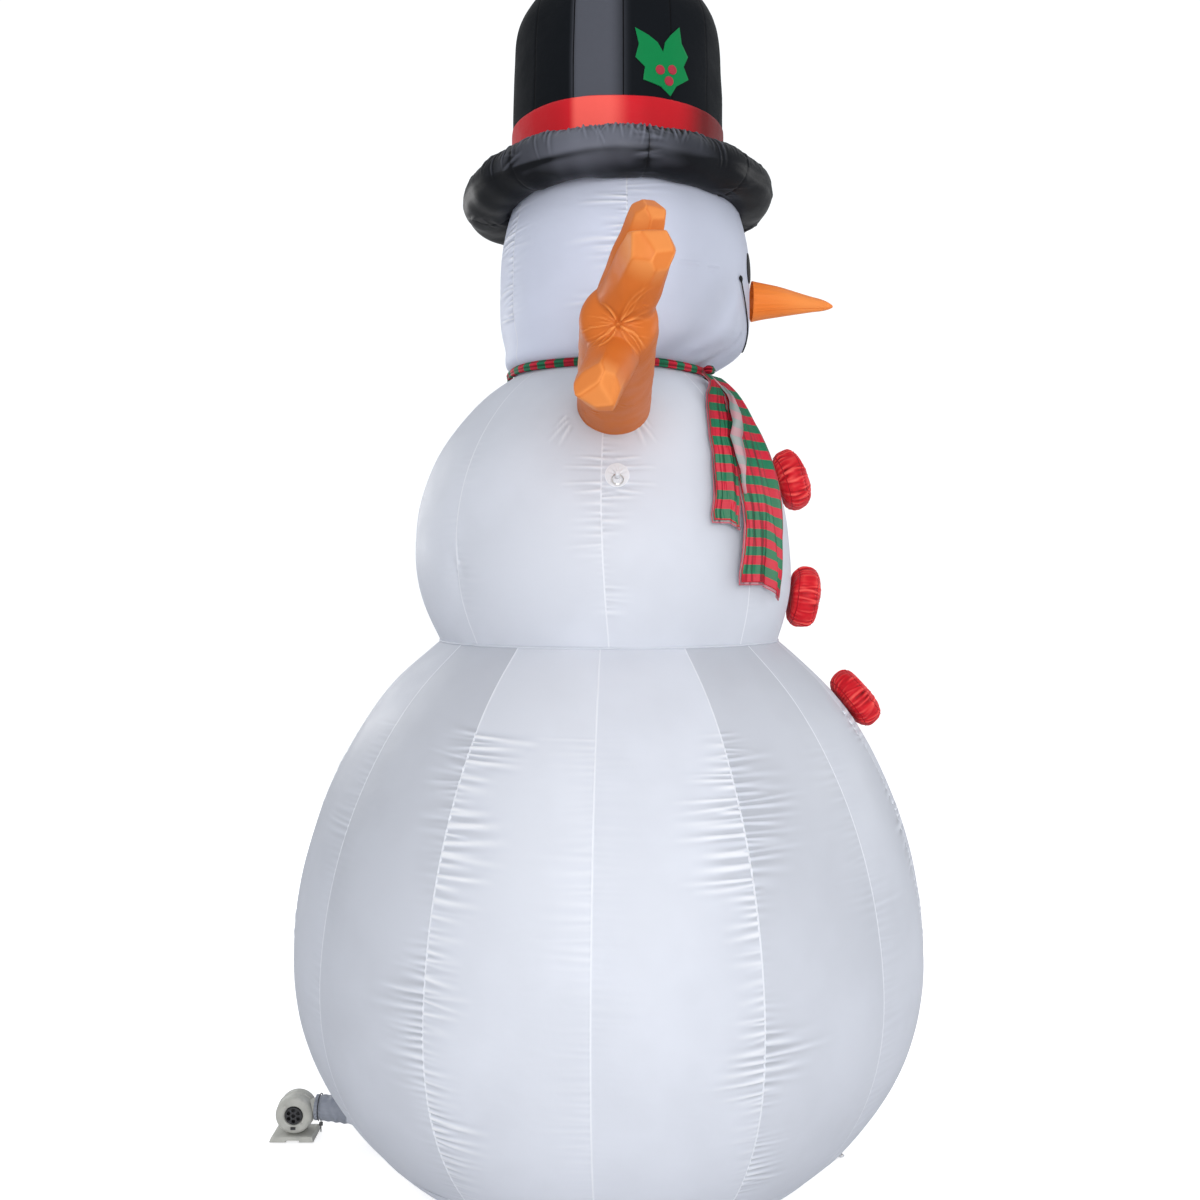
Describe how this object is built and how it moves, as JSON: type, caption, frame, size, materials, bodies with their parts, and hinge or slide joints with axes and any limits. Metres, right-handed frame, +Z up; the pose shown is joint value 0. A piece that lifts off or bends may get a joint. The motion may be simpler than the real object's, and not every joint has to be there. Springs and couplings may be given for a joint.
{
  "type": "inflatable yard snowman",
  "caption": "Tall inflatable snowman of sewn fabric balls with a top hat, stick arms and a striped scarf, fed by an external fan on the ground behind it.",
  "frame": {"origin": "centre of the base panel's underside, on the ground", "axes": "+Z up, the snowman faces -Y, its own right arm points along -X"},
  "size_m": [4.016, 3.3892, 6.1],
  "materials": {
    "snow_fabric": "coated white polyester, faint blue sheen, puckered seams",
    "base_fabric": "heavier matte coated polyester",
    "hat_satin": "black coated polyester with a soft grey sheen",
    "red_satin": "red coated polyester, satin sheen",
    "holly_satin": "green applique fabric",
    "nose_fabric": "orange coated polyester",
    "face_applique": "black applique fabric",
    "scarf_fabric": "red and green striped light fabric",
    "arm_fabric": "orange-brown coated polyester, satin",
    "webbing": "white woven webbing",
    "zip_fabric": "woven zip tape with moulded teeth",
    "sleeve_fabric": "dark coated polyester sleeve",
    "cord_fabric": "braided cord",
    "nickel": "nickel plated steel",
    "fan_housing": "moulded grey-beige plastic",
    "dark_plastic": "moulded black plastic",
    "motor_steel": "plated motor can",
    "cable_rubber": "black flexible cable jacket",
    "lamp_lens": "milky lamp lens"
  },
  "bodies": {
    "snowman": {"base_panel": "base_fabric", "blower_base": "fan_housing", "blower_shell_left": "fan_housing", "blower_shell_right": "fan_housing", "button_low": "red_satin", "button_middle": "red_satin", "button_top": "red_satin", "carrot_nose": "nose_fabric", "eye_left": "face_applique", "eye_right": "face_applique", "fan_motor": "motor_steel", "feed_sleeve": "sleeve_fabric", "hat_band": "red_satin", "hat_brim": "hat_satin", "hat_crown": "hat_satin", "head": "snow_fabric", "holly_berry_left": "red_satin", "holly_berry_low": "red_satin", "holly_berry_right": "red_satin", "holly_leaf": "holly_satin", "intake_grille": "dark_plastic", "led_cable": "cable_rubber", "led_lamp_high": "lamp_lens", "led_lamp_low": "lamp_lens", "led_lamp_middle": "lamp_lens", "lower_ball": "snow_fabric", "middle_ball": "snow_fabric", "outlet_spigot": "fan_housing", "power_cord": "cable_rubber", "power_plug": "cable_rubber", "scarf_knot": "scarf_fabric", "scarf_wrap": "scarf_fabric", "shell_screw_high": "nickel", "shell_screw_low": "nickel", "shoulder_patch_left": "webbing", "shoulder_patch_right": "webbing", "sleeve_drawcord": "cord_fabric", "smile": "face_applique", "stake_loop_back": "webbing", "stake_loop_front": "webbing", "stake_loop_left": "webbing", "stake_loop_right": "webbing", "zip_tape": "zip_fabric"},
    "right_arm": {"right_arm_front_twig": "arm_fabric", "right_arm_low_twig": "arm_fabric", "right_arm_stick": "arm_fabric", "right_arm_top_twig": "arm_fabric"},
    "left_arm": {"left_arm_front_twig": "arm_fabric", "left_arm_low_twig": "arm_fabric", "left_arm_stick": "arm_fabric", "left_arm_top_twig": "arm_fabric"},
    "long_tail": {"scarf_tail_long": "scarf_fabric"},
    "short_tail": {"scarf_tail_short": "scarf_fabric"},
    "impeller_wheel": {"impeller": "dark_plastic"},
    "switch_rocker": {"power_switch": "dark_plastic"},
    "slider": {"zip_slider": "nickel"},
    "pull_tab": {"zip_pull": "nickel"},
    "right_ring": {"tether_ring_right": "nickel"},
    "left_ring": {"tether_ring_left": "nickel"},
    "lock": {"cord_lock": "dark_plastic"}
  },
  "joints": [
    {"name": "right_arm_sway", "type": "hinge", "parent": "snowman", "child": "right_arm", "pos_m": [-0.75, -0.022, 3.778], "axis": [0, 1, 0], "range_deg": [-5, 5]},
    {"name": "left_arm_sway", "type": "hinge", "parent": "snowman", "child": "left_arm", "pos_m": [0.75, -0.022, 3.778], "axis": [0, -1, 0], "range_deg": [-5, 5]},
    {"name": "long_tail_swing", "type": "hinge", "parent": "snowman", "child": "long_tail", "pos_m": [-0.28741, -0.53694, 3.975], "axis": [-0.7547, 0.6561, 0], "range_deg": [0, 35]},
    {"name": "short_tail_swing", "type": "hinge", "parent": "snowman", "child": "short_tail", "pos_m": [-0.35985, -0.49168, 3.975], "axis": [-0.6293, 0.7771, 0], "range_deg": [0, 35]},
    {"name": "impeller_spin", "type": "hinge", "parent": "snowman", "child": "impeller_wheel", "pos_m": [0.06, 1.665, 0.132], "axis": [1, 0, 0], "continuous": true},
    {"name": "switch_rock", "type": "hinge", "parent": "snowman", "child": "switch_rocker", "pos_m": [-0.0073, 1.665, 0.07], "axis": [0, 0, 1], "range_deg": [-6, 6]},
    {"name": "slider_travel", "type": "hinge", "parent": "snowman", "child": "slider", "pos_m": [0, 0, 0.46], "axis": [0, 0, 1], "range_deg": [0, 28]},
    {"name": "pull_swing", "type": "hinge", "parent": "slider", "child": "pull_tab", "pos_m": [0.5389, 1.33383, 0.44776], "axis": [0.9272, -0.3746, 0], "range_deg": [0, 70]},
    {"name": "right_ring_swing", "type": "hinge", "parent": "snowman", "child": "right_ring", "pos_m": [-0.9344, -0.03773, 3.43224], "axis": [-0.0767, 0.9971, 0], "range_deg": [0, 85]},
    {"name": "left_ring_swing", "type": "hinge", "parent": "snowman", "child": "left_ring", "pos_m": [0.9344, -0.03773, 3.43224], "axis": [-0.0767, -0.9971, 0], "range_deg": [0, 85]},
    {"name": "lock_slide", "type": "slide", "parent": "snowman", "child": "lock", "axis": [-0.4208, -0.1002, -0.9016], "range_m": [-0.003, 0.024]}
  ]
}
